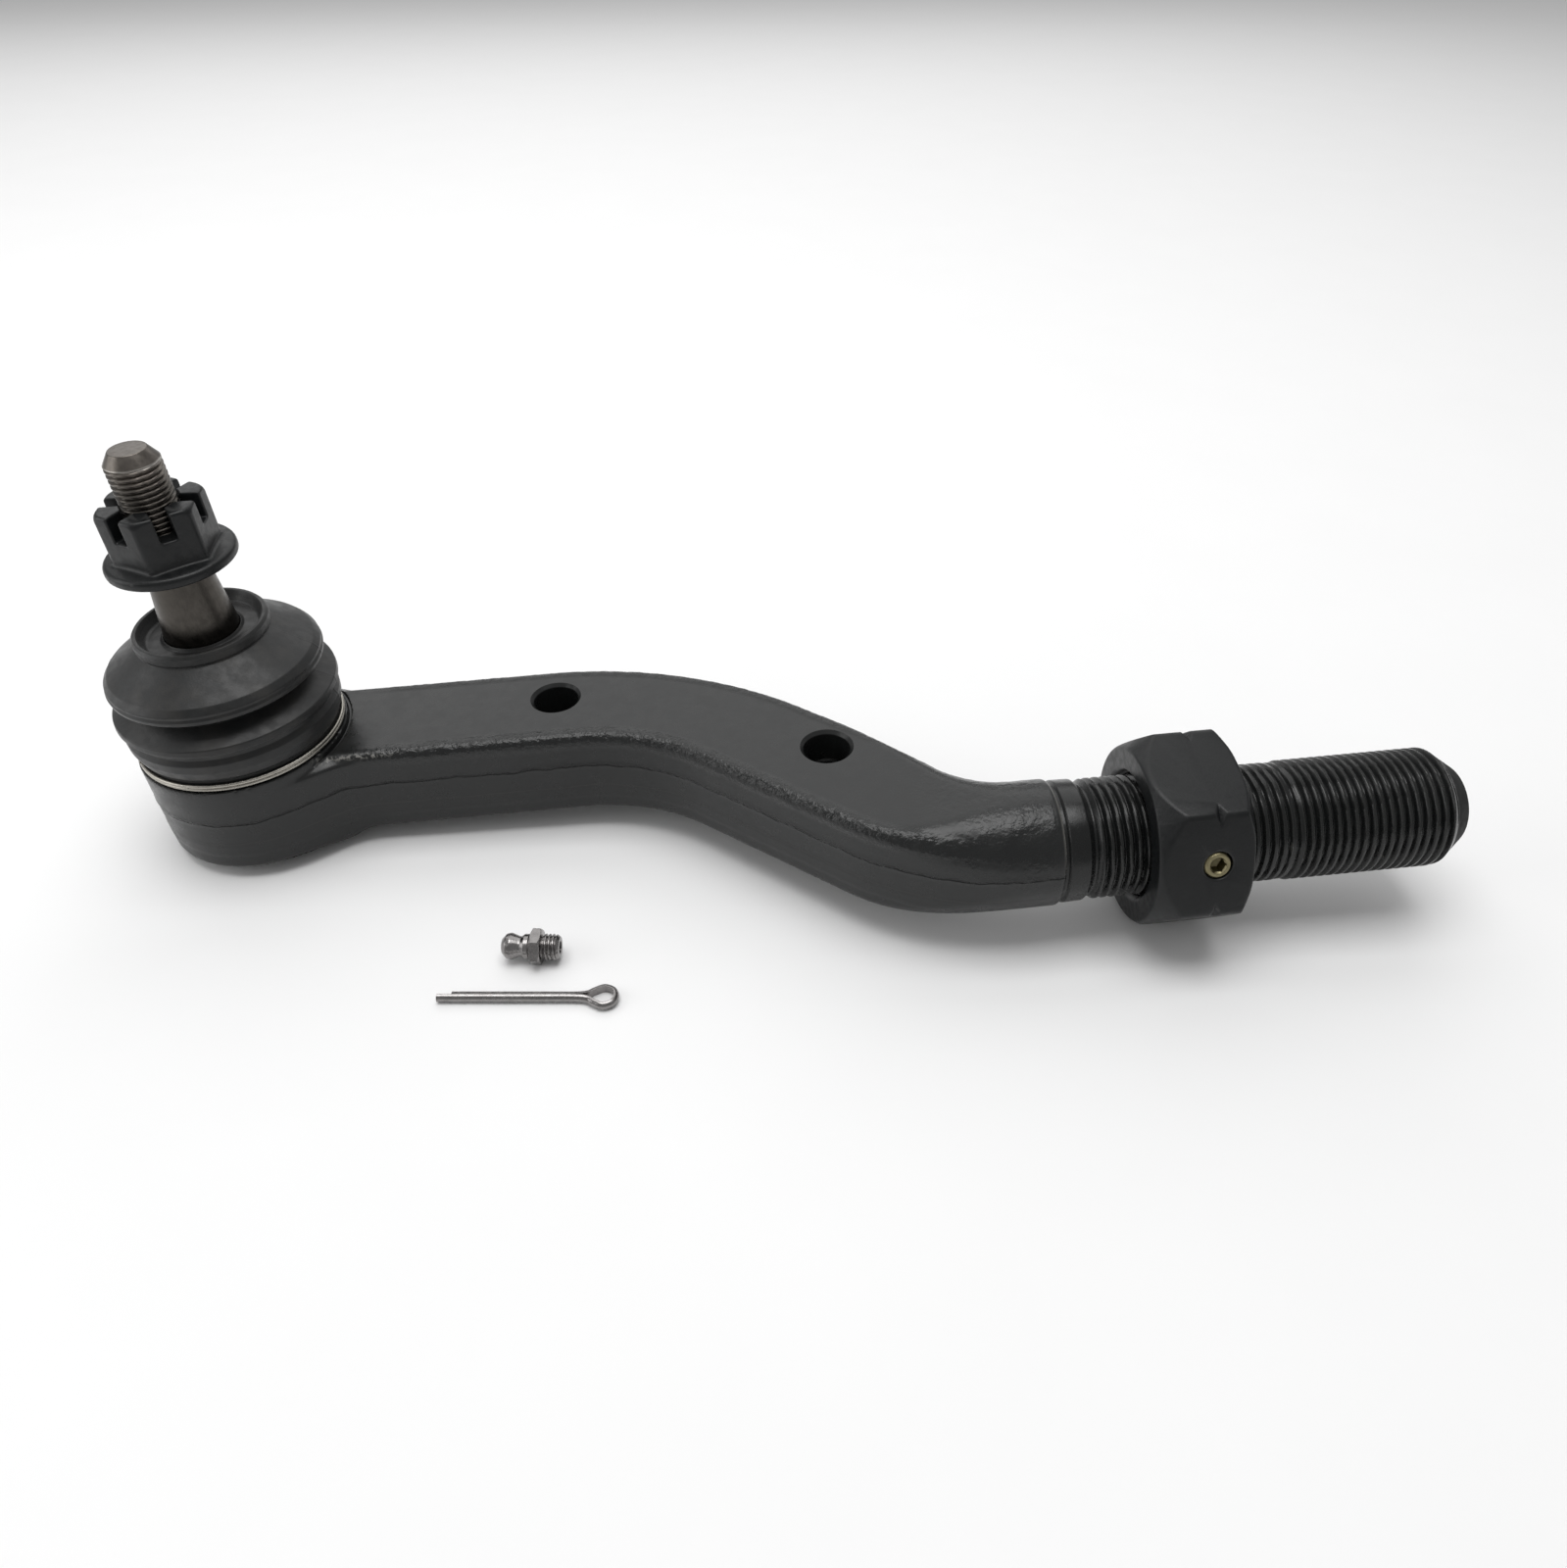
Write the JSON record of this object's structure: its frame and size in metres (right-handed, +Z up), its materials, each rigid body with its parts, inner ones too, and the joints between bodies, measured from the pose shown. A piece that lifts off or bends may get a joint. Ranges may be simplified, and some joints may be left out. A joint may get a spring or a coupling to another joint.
{
  "type": "tie rod end",
  "caption": "Forged S-bent steering arm with a booted ball stud and castle nut at one end and a threaded shank with a locking jam nut at the other.",
  "frame": {"origin": "centre of the stud's ball", "axes": "+Z up the stud, +X along the threaded shank towards its end, +Y away from the shank's side of the S bend"},
  "size_m": [0.32, 0.1064, 0.1124],
  "materials": {
    "black_paint": "semi-gloss black paint over a forged surface",
    "bare_steel": "bare, slightly warm machined steel",
    "bright_steel": "bright spring steel",
    "black_oxide": "black oxide, slightly oily",
    "yellow_zinc": "yellow-passivated zinc on steel",
    "bright_zinc": "bright zinc plate",
    "rubber": "matt moulded chloroprene rubber",
    "sintered": "sintered metal",
    "bearing_plastic": "moulded acetal"
  },
  "bodies": {
    "arm": {"forged_arm": "black_paint", "upper_bearing": "sintered", "lower_bearing": "bearing_plastic", "spring_washer": "bright_steel", "cover_plate": "bare_steel", "boot_lower_ring": "bright_steel"},
    "boot": {"dust_boot": "rubber"},
    "collar": {"boot_neck_ring": "bright_steel"},
    "stud": {"ball_stud": "bare_steel"},
    "castle_nut": {"castle_nut": "black_oxide"},
    "jam_nut": {"jam_nut": "black_oxide"},
    "set_screw": {"set_screw": "yellow_zinc"},
    "grease_fitting": {"grease_fitting": "bright_zinc", "grease_spring": "bright_steel"},
    "check_ball": {"grease_check_ball": "bright_steel"},
    "cotter_pin": {"cotter_pin": "bright_zinc"}
  },
  "joints": [
    {"name": "stud_tilt_along", "type": "hinge", "parent": "arm", "child": "boot", "pos_m": [0, 0, 0], "axis": [0, 1, 0], "range_deg": [-18, 18], "deforming": ["dust_boot"]},
    {"name": "stud_tilt_across", "type": "hinge", "parent": "boot", "child": "collar", "pos_m": [0, 0, 0], "axis": [1, 0, 0], "range_deg": [-18, 18]},
    {"name": "stud_spin", "type": "hinge", "parent": "collar", "child": "stud", "pos_m": [0, 0, 0], "axis": [0, 0, 1], "continuous": true},
    {"name": "castle_nut_unscrew", "type": "slide", "parent": "stud", "child": "castle_nut", "axis": [0, 0, 1], "range_m": [0, 0.028]},
    {"name": "jam_nut_travel", "type": "slide", "parent": "arm", "child": "jam_nut", "axis": [1, 0, 0], "range_m": [-0.01, 0.052]},
    {"name": "set_screw_unscrew", "type": "slide", "parent": "jam_nut", "child": "set_screw", "axis": [0, -0.9379, 0.3469], "range_m": [0, 0.0065]},
    {"name": "grease_fitting_lift", "type": "slide", "parent": "arm", "child": "grease_fitting", "axis": [0.0379, 0, 0.9993], "range_m": [0, 0.04]},
    {"name": "check_ball_press", "type": "slide", "parent": "grease_fitting", "child": "check_ball", "axis": [0.991, -0.1288, -0.0376], "range_m": [0, 0.0012], "stiffness_N_per_m": 100, "springref_m": -0.003, "deforming": ["grease_spring"]},
    {"name": "cotter_pin_lift", "type": "slide", "parent": "arm", "child": "cotter_pin", "axis": [0.0379, 0, 0.9993], "range_m": [0, 0.04]}
  ]
}
